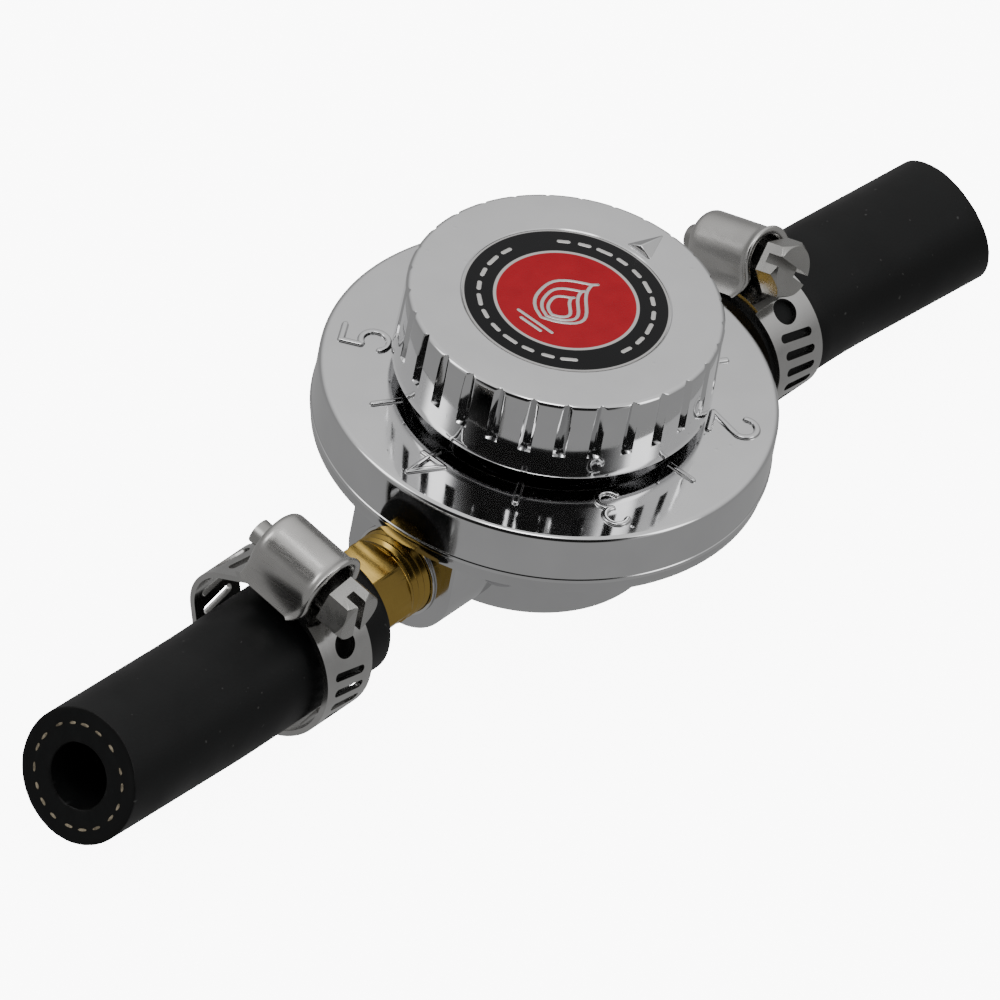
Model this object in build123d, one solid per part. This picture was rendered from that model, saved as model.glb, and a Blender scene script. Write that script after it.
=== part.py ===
"""Adjustable in-line gas regulator with two clamped hose tails. Millimetres, +Z up along the knob's axis.

The origin is the centre of the flat bottom of the central boss. The gas line runs along X, with the inlet
at -X and the outlet at +X.
"""

from build123d import *
import os
from math import asin, cos, degrees, radians, sin, sqrt, tan

# ---- driving dimensions -------------------------------------------------------------------------

FIT = 0.02            # radial gap of pieces that are pressed or screwed together
RUN = 0.05            # radial gap of pieces that turn or slide in each other

# casing
FLANGE_R = 27.5
FLANGE_TOP_Z = 22.1
JOINT_Z = 15.3        # parting plane between bonnet and lower body
RIM_R = 27.3
RIM_BOTTOM_Z = 13.7
UNDERSIDE_Z = 12.6
UNDERSIDE_R = 25.2
BOSS_R = 16.6
CHAMBER_R = 12.5
CHAMBER_FLOOR_Z = 2.4
DISH_R = 19.5         # free radius of the diaphragm
DISH_FLOOR_Z = 13.9
DIAPHRAGM_R = 25.2
DIAPHRAGM_T = 0.8
ROOF_Z = 19.4
NECK_R = 11.0
NECK_BORE_R = 9.0
NECK_TOP_Z = 30.4
SCREW_COUNT = 6
SCREW_CIRCLE_R = 22.4
SCREW_R = 1.5

# ports
PORT_Z = 6.5
PORT_FACE_X = 24.2
PORT_R = 7.85
PORT_BORE_R = 5.45
PORT_SHOULDER_X = 17.0
PASSAGE_R = 3.25

# knob
KNOB_R = 19.0
KNOB_SKIRT_R = 19.2
KNOB_BOTTOM_Z = 24.2
KNOB_TOP_Z = 35.2
KNOB_HOLLOW_R = 16.8
KNOB_CEILING_Z = 32.7
HUB_R = 7.2
HUB_BOTTOM_Z = 29.7
DRIVE_AF = 9.0        # across flats of the hexagon that turns the adjusting screw
DRIVE_TOP_Z = 31.5
FLUTE_COUNT = 29
FLUTE_WIDTH = 1.4
FLUTE_LENGTH = 7.6
FLUTE_START = 184.0   # angle of the first flute
KNOB_SCREW_R = 2.0
KNOB_SCREW_HEAD_R = 3.8
KNOB_SCREW_HEAD_Z = 33.0
KNOB_SCREW_TOP_Z = 34.7
KNOB_SCREW_TIP_Z = 28.2
LABEL_R = 12.4
LABEL_T = 0.25
LABEL_RECESS = 0.3
KNOB_TURN = 240.0     # degrees from setting 1 to setting 5
STOP_ANGLE = 90.0
STOP_CIRCLE_R = 14.0
STOP_R = 1.0

# dial
MARK_HEIGHT = 0.35
MARK_WIDTH = 0.8
MARK_R = 22.3         # radius of the middle of the numerals
NUMERAL_HEIGHT = 6.4
NUMERAL_WIDTH = 4.0

# spring column and diaphragm stack
PLUG_BOTTOM_Z = 27.0
PLUG_TOP_Z = 29.6
CAP_T = 1.35
SPRING_MEAN_R = 7.0
SPRING_WIRE_R = 0.65
SPRING_TURNS = 4.5
STACK_HOLE_R = 2.05
PLATE_R = 14.3
PLATE_T = 0.8
WASHER_R = 9.0

# valve
GUIDE_HALF_W = 4.15
EAR_TOP_Z = 13.3
EAR_INNER_Y = 3.2
EAR_OUTER_Y = 5.6
LEVER_X = 8.0
LEVER_Z = 11.5
LEVER_PIN_R = 1.0
PLUNGER_R = 2.8
NOZZLE_TIP_X = -1.93
PAD_FACE_X = -1.15

# hose fittings
THREAD_R = 5.4
THREAD_END_X = 28.0
HEX_AF = 10.4
HEX_END_X = 34.6
BARB_END_X = 50.0
BARB_TIP_R = 4.5
BARB_ROOT_R = 4.0
FITTING_BORE_R = 2.5
FITTING_INNER_X = 19.4
SEAL_R = 5.85
SEAL_T = 0.35

# hose tails
HOSE_R = 8.2
HOSE_BORE_R = 4.0
HOSE_START_X = 35.0

# clamps
BAND_W = 8.0
BAND_T = 0.7
SLOT_PITCH = 2.3
SLOT_WIDTH = 1.1
SLOT_LENGTH = 5.2
SLOT_SLANT = -12.0
BAND_HOLE_R = 1.65
HOUSING_L = 10.0
HOUSING_W = 10.0
ARCH_RISE = 0.5       # the housing's arch is centred this far above the worm
WORM_R = 1.9
HEAD_AF = 6.3
HEAD_START = 5.9
COLLAR_R = 2.2
TAIL_R = 1.6
TAIL_END = 2.0        # the worm's tail journal stands out of the housing by this much
HOLE_ANGLE = 52.0     # round hole of the band, from the housing towards the screw's head
SLOTS_FROM = 73.0
SLOTS_TO = 318.0
TONGUE_FROM = -36.0   # second layer of the band

# Each tail: side of the body, where its bend starts, the bend's angle and length, the straight end, the
# direction of the bend as an angle from +Z towards +Y, and how far the cut face leans upward.
TAILS = {
    "inlet": {
        "side": -1, "bend_x": 54.0, "bend": 3.6, "bend_l": 8.0, "end_l": 19.9, "towards": 0.0, "lean": 11.5,
    },
    "outlet": {
        "side": 1, "bend_x": 46.0, "bend": 5.8, "bend_l": 10.0, "end_l": 18.2, "towards": -80.0, "lean": 9.0,
    },
}
# Each clamp: middle of the band, inner radius, offset of the loop from the hose, roll of the screw housing
# about the hose, positive from the top towards +Y, turn of the screw's head, end of the second layer, radius
# of the housing's arch, length of the screw's head, how the housing tilts on the band and sits to one side of
# it, and where and how round the loop bulges beside the housing, in the clamp's own frame.
CLAMPS = {
    "inlet": {
        "x": -44.6, "inner_r": 9.7, "offset": (0.4, 0.3), "roll": -5.0, "head_turn": -77.0, "tongue": 26.0,
        "arch_r": 4.4, "head_l": 3.6, "tilt": -4.0, "aside": 0.9, "bulge": (-5.7, 1.8), "bulge_r": 5.2,
    },
    "outlet": {
        "x": 39.8, "inner_r": 8.0, "offset": (0.0, 0.0), "roll": 18.0, "head_turn": -48.0, "tongue": 41.0,
        "arch_r": 3.7, "head_l": 2.9, "tilt": 0.0, "aside": 0.0, "bulge": (0.0, 0.0), "bulge_r": 8.0,
    },
}


# ---- helpers ------------------------------------------------------------------------------------

def turned(*profile):
    """Solid of revolution about Z from a closed outline of (radius, height) points."""
    return revolve(Plane.XZ * make_face(Polyline(*profile, close=True)), Axis.Z)


def disc(radius, low, high, at=(0, 0)):
    """Upright cylinder between two heights."""
    return Pos(at[0], at[1], low) * extrude(Circle(radius), high - low)


def block(x, y, z):
    """Box from three (low, high) pairs."""
    size = [pair[1] - pair[0] for pair in (x, y, z)]
    return Pos(x[0], y[0], z[0]) * Box(*size, align=(Align.MIN, Align.MIN, Align.MIN))


def polar(radius, angle):
    """Point at a radius and an angle in degrees."""
    return (radius * cos(radians(angle)), radius * sin(radians(angle)))


def port_plane(side):
    """Frame of a port: local Z runs out along the port's axis, local X is up."""
    return Plane(origin=(0, 0, PORT_Z), x_dir=(0, 0, 1), z_dir=(side, 0, 0))


def hexagon(across_flats, low, high, turn=0.0):
    """Upright hexagonal prism."""
    outline = Rot(0, 0, turn) * RegularPolygon(across_flats / sqrt(3), 6)
    return Pos(0, 0, low) * extrude(outline, high - low)


def cross_pin(radius, x, z, half_length):
    """Cylinder along Y."""
    return Plane(origin=(x, -half_length, z), z_dir=(0, 1, 0)) * extrude(Circle(radius), 2 * half_length)


# ---- casing -------------------------------------------------------------------------------------

def screw_places():
    """Centres of the cover screws, clear of the ports."""
    step = 360 / SCREW_COUNT
    return [polar(SCREW_CIRCLE_R, step / 2 + index * step) for index in range(SCREW_COUNT)]


def port_block(side):
    """Port boss: half round below the port's axis, upright sides above it, flat outer face."""
    upper = Pos(UNDERSIDE_Z / 2 - PORT_Z / 2, 0) * Rectangle(UNDERSIDE_Z - PORT_Z, 2 * PORT_R)
    solid = extrude(Circle(PORT_R) + upper, PORT_FACE_X)
    rim = solid.faces().sort_by(Axis.Z)[-1].edges()
    return port_plane(side) * chamfer(rim, 0.3)


def lower_body():
    """Die-cast lower half: flange, central boss, port blocks, gas chamber, valve guide and lever ears."""
    boss = disc(BOSS_R, 0, UNDERSIDE_Z)
    boss = fillet(boss.edges().group_by(Axis.Z)[0], 0.8)
    flange = turned(
        (0, UNDERSIDE_Z), (UNDERSIDE_R, UNDERSIDE_Z), (RIM_R - 0.4, RIM_BOTTOM_Z), (RIM_R, RIM_BOTTOM_Z),
        (RIM_R, JOINT_Z), (0, JOINT_Z),
    )
    body = boss + flange + port_block(-1) + port_block(1) - disc(BOSS_R, -PORT_R, 0)
    body -= turned(
        (0, CHAMBER_FLOOR_Z), (CHAMBER_R, CHAMBER_FLOOR_Z), (CHAMBER_R, DISH_FLOOR_Z), (DISH_R, DISH_FLOOR_Z),
        (DISH_R, JOINT_Z - DIAPHRAGM_T), (DIAPHRAGM_R + 0.1, JOINT_Z - DIAPHRAGM_T),
        (DIAPHRAGM_R + 0.1, JOINT_Z), (0, JOINT_Z),
    )
    for side in (-1, 1):
        body -= port_plane(side) * turned(
            (0, PORT_SHOULDER_X), (PORT_BORE_R, PORT_SHOULDER_X), (PORT_BORE_R, PORT_FACE_X - 0.4),
            (PORT_BORE_R + 0.4, PORT_FACE_X), (0, PORT_FACE_X),
        )
        body -= port_plane(side) * disc(PASSAGE_R, CHAMBER_R - 1.0, PORT_SHOULDER_X + 0.1)
    for place in screw_places():
        body -= disc(SCREW_R + 0.1, UNDERSIDE_Z - 1, JOINT_Z, place)
    base = CHAMBER_FLOOR_Z - 0.5
    guide = block((2.2, 5.8), (-GUIDE_HALF_W, GUIDE_HALF_W), (base, PORT_Z + GUIDE_HALF_W))
    ears = block((LEVER_X - 2.2, LEVER_X + 2.2), (-EAR_OUTER_Y, EAR_OUTER_Y), (base, EAR_TOP_Z))
    ears -= block((LEVER_X - 3, LEVER_X + 3), (-EAR_INNER_Y, EAR_INNER_Y), (CHAMBER_FLOOR_Z, EAR_TOP_Z + 1))
    ears -= cross_pin(LEVER_PIN_R, LEVER_X, LEVER_Z, 10)
    guide -= Plane(origin=(0, 0, PORT_Z), z_dir=(1, 0, 0)) * disc(PLUNGER_R + RUN, 0, 10)
    return body + guide + ears


def bonnet():
    """Die-cast upper half: dial flange and threaded neck, with the raised dial marks."""
    body = turned(
        (DISH_R, JOINT_Z), (FLANGE_R, JOINT_Z), (FLANGE_R, FLANGE_TOP_Z), (NECK_R, FLANGE_TOP_Z),
        (NECK_R, NECK_TOP_Z), (NECK_BORE_R, NECK_TOP_Z), (NECK_BORE_R, ROOF_Z), (DISH_R, ROOF_Z),
    )
    top_rim = body.edges().filter_by(GeomType.CIRCLE).filter_by(lambda e: e.radius > FLANGE_R - 0.1)
    body = fillet(top_rim.group_by(Axis.Z)[-1], 1.0)
    for place in screw_places():
        body -= disc(SCREW_R, JOINT_Z - 1, JOINT_Z + 5.0, place)
    body -= disc(STOP_R, FLANGE_TOP_Z - 1.5, FLANGE_TOP_Z + 1, polar(STOP_CIRCLE_R, STOP_ANGLE))
    body -= disc(0.5, ROOF_Z - 1, FLANGE_TOP_Z + 1, polar(STOP_CIRCLE_R, STOP_ANGLE + 180))
    for mark in dial_marks():
        body += mark
    return body


def stroke(start, end):
    """Straight raised stroke with round ends, in the dial's own plane."""
    along = Vector(*end) - Vector(*start)
    middle = (Vector(*end) + Vector(*start)) / 2
    bar = SlotCenterToCenter(along.length, MARK_WIDTH)
    return Pos(middle.X, middle.Y) * Rot(0, 0, Vector(1, 0).get_signed_angle(along)) * bar


def bow(centre, radius, start, sweep):
    """Raised round stroke: part of a ring from a start angle, with a round end."""
    half = MARK_WIDTH / 2
    ring = Circle(radius + half) - Circle(radius - half)
    steps = 12
    fan = [(0, 0)]
    for index in range(steps + 1):
        fan.append(polar(2 * radius, start + sweep * index / steps))
    wedge = make_face(Polyline(*fan, close=True))
    part = ring & wedge
    for angle in (start, start + sweep):
        part += Pos(*polar(radius, angle)) * Circle(half)
    return Pos(*centre) * part


def numeral(digit):
    """Outline of a dial numeral, upright about its own centre."""
    w = NUMERAL_WIDTH / 2 - MARK_WIDTH / 2
    h = NUMERAL_HEIGHT / 2 - MARK_WIDTH / 2
    if digit == 1:
        return stroke((0, -h), (0, h)) + stroke((0, h), (-w * 0.6, h * 0.6))
    if digit == 2:
        return (
            bow((0, h - w), w, -20, 200) + stroke((w * 0.94, h - 1.34 * w), (-w, -h))
            + stroke((-w, -h), (w, -h))
        )
    if digit == 3:
        r = h / 2
        return bow((0, h - r), r, -90, 240) + bow((0, r - h), r, -150, 240)
    if digit == 4:
        return (
            stroke((w * 0.4, -h), (w * 0.4, h)) + stroke((w * 0.4, h), (-w, -h * 0.4))
            + stroke((-w, -h * 0.4), (w, -h * 0.4))
        )
    r = h * 0.6
    return (
        stroke((w, h), (-w * 0.8, h)) + stroke((-w * 0.8, h), (-w * 0.8, h * 0.15))
        + bow((-w * 0.1, r - h), r, -150, 270)
    )


def dial_marks():
    """Numerals 1 to 5, clockwise from +X and standing outward, with a tick between neighbours."""
    marks = []
    for index in range(5):
        angle = -60.0 * index
        flat = Rot(0, 0, angle) * (Pos(MARK_R, 0) * (Rot(0, 0, -90) * numeral(index + 1)))
        marks.append(Pos(0, 0, FLANGE_TOP_Z - 0.1) * extrude(flat, MARK_HEIGHT + 0.1))
    for index in range(4):
        flat = Rot(0, 0, -30 - 60 * index) * stroke((18.4 + MARK_WIDTH / 2, 0), (22.7 - MARK_WIDTH / 2, 0))
        marks.append(Pos(0, 0, FLANGE_TOP_Z - 0.1) * extrude(flat, MARK_HEIGHT + 0.1))
    return marks


def cover_screws():
    """Pan-head screws from below, one separate solid each."""
    screws = []
    for place in screw_places():
        shank = disc(SCREW_R - FIT, UNDERSIDE_Z - 0.5, JOINT_Z + 4.6, place)
        head = disc(2.6, UNDERSIDE_Z - 1.8, UNDERSIDE_Z, place)
        head = fillet(head.edges().group_by(Axis.Z)[0], 0.6)
        cross = Pos(place[0], place[1], UNDERSIDE_Z - 1.8) * (Box(3.0, 0.6, 1.6) + Box(0.6, 3.0, 1.6))
        screws.append(shank + head - cross)
    return Compound(children=screws)


def stop_pin():
    """Pin in the bonnet that ends the knob's turn."""
    return disc(STOP_R - FIT, FLANGE_TOP_Z - 1.5, FLANGE_TOP_Z + 4.4, polar(STOP_CIRCLE_R, STOP_ANGLE))


# ---- knob and adjusting screw -------------------------------------------------------------------

def pointer():
    """Raised three-sided pointer on the knob's top, at setting 1."""
    inner, outer, half, sink, rise = 13.2, 18.0, 2.0, 0.3, 0.8
    low = KNOB_TOP_Z - sink
    a = Vector(inner, -half, low)
    b = Vector(inner, half, low)
    c = Vector(outer, 0, low)
    d = Vector(inner, 0, KNOB_TOP_Z + rise)
    rings = ((a, b, c), (a, b, d), (b, c, d), (c, a, d))
    faces = [Face(Wire.make_polygon(ring, close=True)) for ring in rings]
    return Solid(Shell(faces))


def knob():
    """Fluted hollow knob with a drive hub, a stop rib, a label recess and the pointer."""
    body = turned(
        (0, HUB_BOTTOM_Z), (HUB_R, HUB_BOTTOM_Z), (HUB_R, KNOB_CEILING_Z), (KNOB_HOLLOW_R, KNOB_CEILING_Z),
        (KNOB_HOLLOW_R, KNOB_BOTTOM_Z), (KNOB_SKIRT_R, KNOB_BOTTOM_Z), (KNOB_R, KNOB_TOP_Z - 0.4),
        (KNOB_R - 0.4, KNOB_TOP_Z), (0, KNOB_TOP_Z),
    )
    flute = Pos(KNOB_R + 0.1, 0, KNOB_TOP_Z - FLUTE_LENGTH) * Rot(0, 0, 45) * extrude(
        Rectangle(FLUTE_WIDTH * 0.75, FLUTE_WIDTH * 0.75), FLUTE_LENGTH + 1
    )
    for index in range(FLUTE_COUNT):
        body -= Rot(0, 0, FLUTE_START + 360 * index / FLUTE_COUNT) * flute
    half_stop = degrees(STOP_R / STOP_CIRCLE_R) + 1.3
    rib_start = STOP_ANGLE + KNOB_TURN + half_stop
    rib_sweep = 360 - KNOB_TURN - 2 * half_stop
    rib_face = Plane.XZ * (Pos(STOP_CIRCLE_R, (KNOB_BOTTOM_Z + KNOB_CEILING_Z + 0.6) / 2) * Rectangle(
        2.4, KNOB_CEILING_Z - KNOB_BOTTOM_Z - 0.2
    ))
    body += Rot(0, 0, rib_start) * revolve(rib_face, Axis.Z, rib_sweep)
    body -= disc(LABEL_R + 0.1, KNOB_TOP_Z - LABEL_RECESS, KNOB_TOP_Z + 1)
    body -= disc(KNOB_SCREW_HEAD_R + 0.4, KNOB_SCREW_HEAD_Z, KNOB_TOP_Z)
    body -= disc(KNOB_SCREW_R + 0.1, DRIVE_TOP_Z, KNOB_TOP_Z)
    body -= hexagon(DRIVE_AF + 0.1, HUB_BOTTOM_Z - 1, DRIVE_TOP_Z + 0.1)
    return body + pointer()


def knob_label():
    """Round label in the knob's recess."""
    return disc(LABEL_R, KNOB_TOP_Z - LABEL_RECESS, KNOB_TOP_Z - LABEL_RECESS + LABEL_T)


def knob_screw():
    """Screw under the label that holds the knob on the adjusting screw."""
    head = disc(KNOB_SCREW_HEAD_R, KNOB_SCREW_HEAD_Z, KNOB_SCREW_TOP_Z)
    head = fillet(head.edges().group_by(Axis.Z)[-1], 0.5)
    slot = Pos(0, 0, KNOB_SCREW_TOP_Z) * Box(8.0, 1.0, 1.6)
    return head + disc(KNOB_SCREW_R - FIT, KNOB_SCREW_TIP_Z, KNOB_SCREW_HEAD_Z + 0.1) - slot


def adjusting_screw():
    """Threaded plug in the bonnet's neck, with a hexagon that the knob drives and a tapped hole."""
    plug_r = NECK_BORE_R - RUN
    groove = 0.3
    profile = [(0, PLUG_BOTTOM_Z), (plug_r, PLUG_BOTTOM_Z)]
    for index in range(3):
        z = PLUG_BOTTOM_Z + 0.3 + 0.8 * index
        profile += [(plug_r, z), (plug_r - groove, z + 0.2), (plug_r, z + 0.4)]
    profile += [(plug_r, PLUG_TOP_Z), (0, PLUG_TOP_Z)]
    return turned(*profile) + hexagon(DRIVE_AF, PLUG_TOP_Z - 0.1, DRIVE_TOP_Z) - disc(
        KNOB_SCREW_R, KNOB_SCREW_TIP_Z - 0.2, DRIVE_TOP_Z
    )


def spring_cap():
    """Upper spring seat, pushed down by the adjusting screw."""
    top = PLUG_BOTTOM_Z - RUN
    return disc(NECK_BORE_R - RUN, top - CAP_T, top) + disc(5.8, top - CAP_T - 1.6, top - CAP_T + 0.1)


def adjusting_spring():
    """Coil spring between the diaphragm plate and the spring cap."""
    low = JOINT_Z + PLATE_T + SPRING_WIRE_R + FIT
    high = PLUG_BOTTOM_Z - RUN - CAP_T - SPRING_WIRE_R - FIT
    path = Pos(0, 0, low) * Helix((high - low) / SPRING_TURNS, high - low, SPRING_MEAN_R)
    section = Plane(origin=path @ 0, z_dir=path % 0) * Circle(SPRING_WIRE_R)
    return sweep(section, path=path, is_frenet=True)


# ---- diaphragm stack ----------------------------------------------------------------------------

def diaphragm():
    """Moulded rubber diaphragm: flat centre, one upward roll, flat rim held by the casing."""
    low = JOINT_Z - DIAPHRAGM_T
    roll_x = (PLATE_R + DISH_R) / 2
    inner, outer = 1.6, 2.4
    foot = sqrt(outer**2 - DIAPHRAGM_T**2)
    edges = [
        Line((STACK_HOLE_R, low), (roll_x - inner, low)),
        ThreePointArc((roll_x - inner, low), (roll_x, low + inner), (roll_x + inner, low)),
        Polyline((roll_x + inner, low), (DIAPHRAGM_R, low), (DIAPHRAGM_R, JOINT_Z), (roll_x + foot, JOINT_Z)),
        ThreePointArc((roll_x + foot, JOINT_Z), (roll_x, low + outer), (roll_x - foot, JOINT_Z)),
        Polyline((roll_x - foot, JOINT_Z), (STACK_HOLE_R, JOINT_Z), (STACK_HOLE_R, low)),
    ]
    body = revolve(Plane.XZ * make_face(edges), Axis.Z)
    for place in screw_places():
        body -= disc(SCREW_R + 0.1, low - 1, JOINT_Z + 1, place)
    return body


def diaphragm_plate():
    """Steel plate above the diaphragm, with a lip that centres the spring."""
    lip = disc(6.0, JOINT_Z, JOINT_Z + PLATE_T + 1.2) - disc(5.2, JOINT_Z, JOINT_Z + PLATE_T + 2)
    return disc(PLATE_R, JOINT_Z, JOINT_Z + PLATE_T) + lip - disc(STACK_HOLE_R, JOINT_Z - 1, JOINT_Z + 3)


def diaphragm_washer():
    """Washer below the diaphragm."""
    high = JOINT_Z - DIAPHRAGM_T
    return disc(WASHER_R, high - 0.8, high) - disc(STACK_HOLE_R, high - 2, high + 1)


def diaphragm_stud():
    """Rivet through the stack, with a slotted block below that carries the lever's end."""
    washer_low = JOINT_Z - DIAPHRAGM_T - 0.8
    stud = disc(STACK_HOLE_R - FIT, washer_low - 0.1, JOINT_Z + PLATE_T + 0.1)
    head = disc(3.2, JOINT_Z + PLATE_T, JOINT_Z + PLATE_T + 1.2)
    head = fillet(head.edges().group_by(Axis.Z)[-1], 0.5)
    hook = block((-1.5, 1.5), (-4.0, 4.0), (9.95, washer_low))
    hook -= block((-2, 2), (-2.8, 2.8), (LEVER_Z - 0.75, LEVER_Z + 0.75))
    return stud + head + hook


# ---- valve --------------------------------------------------------------------------------------

def lever():
    """Bell crank: a long arm into the stud's slot and a short arm down into the plunger's slot."""
    long_arm = block((0, LEVER_X), (-2.0, 2.0), (LEVER_Z - 0.4, LEVER_Z + 0.4))
    short_arm = block((LEVER_X - 0.35, LEVER_X + 0.35), (-1.5, 1.5), (PORT_Z, LEVER_Z))
    crank = long_arm + short_arm + cross_pin(1.9, LEVER_X, LEVER_Z, 2.6)
    crank += cross_pin(0.68, 0, LEVER_Z, 2.6)
    crank += cross_pin(0.85, LEVER_X, PORT_Z, 1.5)
    return crank - cross_pin(LEVER_PIN_R + RUN, LEVER_X, LEVER_Z, 5)


def lever_pin():
    """Pivot pin, pressed into the casing's ears."""
    return cross_pin(LEVER_PIN_R - FIT, LEVER_X, LEVER_Z, EAR_OUTER_Y)


def valve_plunger():
    """Sliding plunger with a pocket for the pad and a slot for the lever."""
    axis = Plane(origin=(0, 0, PORT_Z), z_dir=(1, 0, 0))
    body = axis * disc(PLUNGER_R, PAD_FACE_X + 0.2, LEVER_X + 2.0)
    body -= axis * disc(2.2 + FIT, PAD_FACE_X, PAD_FACE_X + 1.0)
    return body - block((LEVER_X - 0.97, LEVER_X + 0.97), (-1.9, 1.9), (PORT_Z - 1.2, PORT_Z + 4))


def seat_pad():
    """Rubber pad in the plunger's face."""
    axis = Plane(origin=(0, 0, PORT_Z), z_dir=(1, 0, 0))
    return axis * disc(2.2, PAD_FACE_X, PAD_FACE_X + 1.0)


def inlet_nozzle():
    """Brass orifice screwed in from the inlet port, with a collar on the port's shoulder."""
    tip = -NOZZLE_TIP_X
    axis = port_plane(-1)
    stem = PASSAGE_R - RUN
    body = turned(
        (0.8, tip), (1.6, tip), (1.6, tip + 0.8), (stem, tip + 2.4), (stem, PORT_SHOULDER_X),
        (4.8, PORT_SHOULDER_X), (4.8, PORT_SHOULDER_X + 1.4), (2.0, PORT_SHOULDER_X + 1.4),
        (2.0, tip + 3.0), (0.8, tip + 2.0),
    )
    return axis * body


def inlet_filter():
    """Sintered disc between the nozzle's collar and the inlet fitting."""
    return port_plane(-1) * disc(5.0, PORT_SHOULDER_X + 1.45, FITTING_INNER_X - 0.05)


# ---- hose fittings ------------------------------------------------------------------------------

def thread_outline():
    """Outer outline of a fitting's thread along its axis, as (radius, distance) points."""
    profile = [(THREAD_R, FITTING_INNER_X)]
    z = FITTING_INNER_X + 0.3
    while z < THREAD_END_X - 1.0:
        profile += [(THREAD_R, z), (THREAD_R - 0.45, z + 0.45), (THREAD_R, z + 0.9)]
        z += 1.0
    profile += [(THREAD_R, THREAD_END_X)]
    return profile


def barb_outline(grow):
    """Outer outline of a fitting's hose barb from its thread to its end, as (radius, distance) points."""
    z = HEX_END_X + 1.0
    profile = [(BARB_ROOT_R + grow, THREAD_END_X), (BARB_ROOT_R + grow, z)]
    while z < BARB_END_X - 4.0:
        profile += [(BARB_TIP_R + grow, z), (BARB_ROOT_R + grow, z + 4.4)]
        z += 4.5
    profile += [(BARB_ROOT_R - 0.5 + grow, BARB_END_X + grow)]
    return profile


def fitting(side):
    """Brass fitting: thread into the port, hexagon, hose barb and through bore."""
    solid = turned((0, FITTING_INNER_X), *thread_outline(), *barb_outline(0), (0, BARB_END_X))
    nut = hexagon(HEX_AF, THREAD_END_X, HEX_END_X, 30)
    nut &= turned(
        (0, THREAD_END_X), (HEX_AF / 2 + 0.1, THREAD_END_X), (HEX_AF / sqrt(3), THREAD_END_X + 0.5),
        (HEX_AF / sqrt(3), HEX_END_X - 0.5), (HEX_AF / 2 + 0.1, HEX_END_X), (0, HEX_END_X),
    )
    solid = solid + nut - disc(FITTING_BORE_R, FITTING_INNER_X - 1, BARB_END_X + 1)
    return port_plane(side) * solid


def seal_washer(side):
    """Thin bright sealing washer at the port's face."""
    ring = disc(SEAL_R, PORT_FACE_X, PORT_FACE_X + SEAL_T)
    return port_plane(side) * (ring - disc(THREAD_R + FIT, PORT_FACE_X - 1, PORT_FACE_X + 1))


# ---- hose tails ---------------------------------------------------------------------------------

def hose(name):
    """Rubber tail: straight over the barb, one gentle bend, a straight end cut at a slant.

    The hose is squeezed a little under a tight clamp. It is built along local Z, bending towards local X.
    """
    tail = TAILS[name]
    clamp = CLAMPS[name]
    side = tail["side"]
    squeeze = min(HOSE_R, clamp["inner_r"] - FIT)
    near_edge = abs(clamp["x"]) - BAND_W / 2 - 0.1
    far_edge = abs(clamp["x"]) + BAND_W / 2 + 0.1
    bend_start = tail["bend_x"]
    straight = disc(HOSE_R, HOSE_START_X, bend_start)
    if squeeze < HOSE_R:
        straight = turned(
            (0, HOSE_START_X), (HOSE_R, HOSE_START_X), (HOSE_R, near_edge - 1.5), (squeeze, near_edge),
            (squeeze, far_edge), (HOSE_R, far_edge + 1.5), (HOSE_R, bend_start), (0, bend_start),
        )
    bend_r = tail["bend_l"] / radians(tail["bend"])
    pivot = Axis((bend_r, 0, bend_start), (0, 1, 0))
    section = Pos(0, 0, bend_start) * Circle(HOSE_R)
    bore_section = Pos(0, 0, bend_start) * Circle(HOSE_BORE_R)
    arc = revolve(section, pivot, tail["bend"])
    arc_bore = revolve(bore_section, pivot, tail["bend"])
    turn = radians(tail["bend"])
    end = Vector(bend_r * (1 - cos(turn)), 0, bend_start + bend_r * sin(turn))
    way = Vector(sin(turn), 0, cos(turn))
    end_plane = Plane(origin=end, x_dir=(0, 1, 0), z_dir=way)
    over = HOSE_R * tan(radians(tail["lean"])) + 1
    end_run = end_plane * disc(HOSE_R, 0, tail["end_l"] + over)
    end_bore = end_plane * disc(HOSE_BORE_R, 0, tail["end_l"] + over + 1)
    tube = straight + arc + end_run
    tube -= disc(HOSE_BORE_R, HOSE_START_X - 1, bend_start)
    tube -= arc_bore
    tube -= end_bore
    tube -= turned((0, THREAD_END_X), *barb_outline(FIT), (0, BARB_END_X + FIT))
    roll = Rot(0, 0, tail["towards"] * -side)
    placed = port_plane(side) * (roll * tube)
    tip = port_plane(side) * (roll * Pos(*(end + way * tail["end_l"]))) * Vertex(0, 0, 0)
    step = port_plane(side) * (roll * Pos(*(end + way * (tail["end_l"] + 1)))) * Vertex(0, 0, 0)
    way_out = step.center() - tip.center()
    lean = radians(tail["lean"])
    sideways = way_out.cross(Vector(0, 0, 1)).normalized()
    normal = way_out * cos(lean) + sideways.cross(way_out) * sin(lean)
    cutter = Plane(origin=tip.center(), z_dir=normal) * Pos(0, 0, 15) * Box(60, 60, 30)
    return placed - cutter


# ---- clamps -------------------------------------------------------------------------------------

def clamp_plane(name):
    """Frame of a clamp: local X along the worm towards its head, local Y out through the housing."""
    clamp = CLAMPS[name]
    roll = radians(clamp["roll"])
    origin = (clamp["x"], clamp["offset"][0], PORT_Z + clamp["offset"][1])
    return Plane(origin=origin, x_dir=(0, -cos(roll), sin(roll)), z_dir=(-1, 0, 0))


def housing_place(name):
    """Place of the housing and its screw in the clamp's frame: a little tilted and aside on the band."""
    clamp = CLAMPS[name]
    height = worm_height(name)
    return Pos(0, height, clamp["aside"]) * Rot(0, 0, clamp["tilt"]) * Pos(0, -height, 0)


def around(angle, radius):
    """Point round the loop, by its angle from the housing towards the screw's head."""
    return (radius * sin(radians(angle)), radius * cos(radians(angle)))


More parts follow.
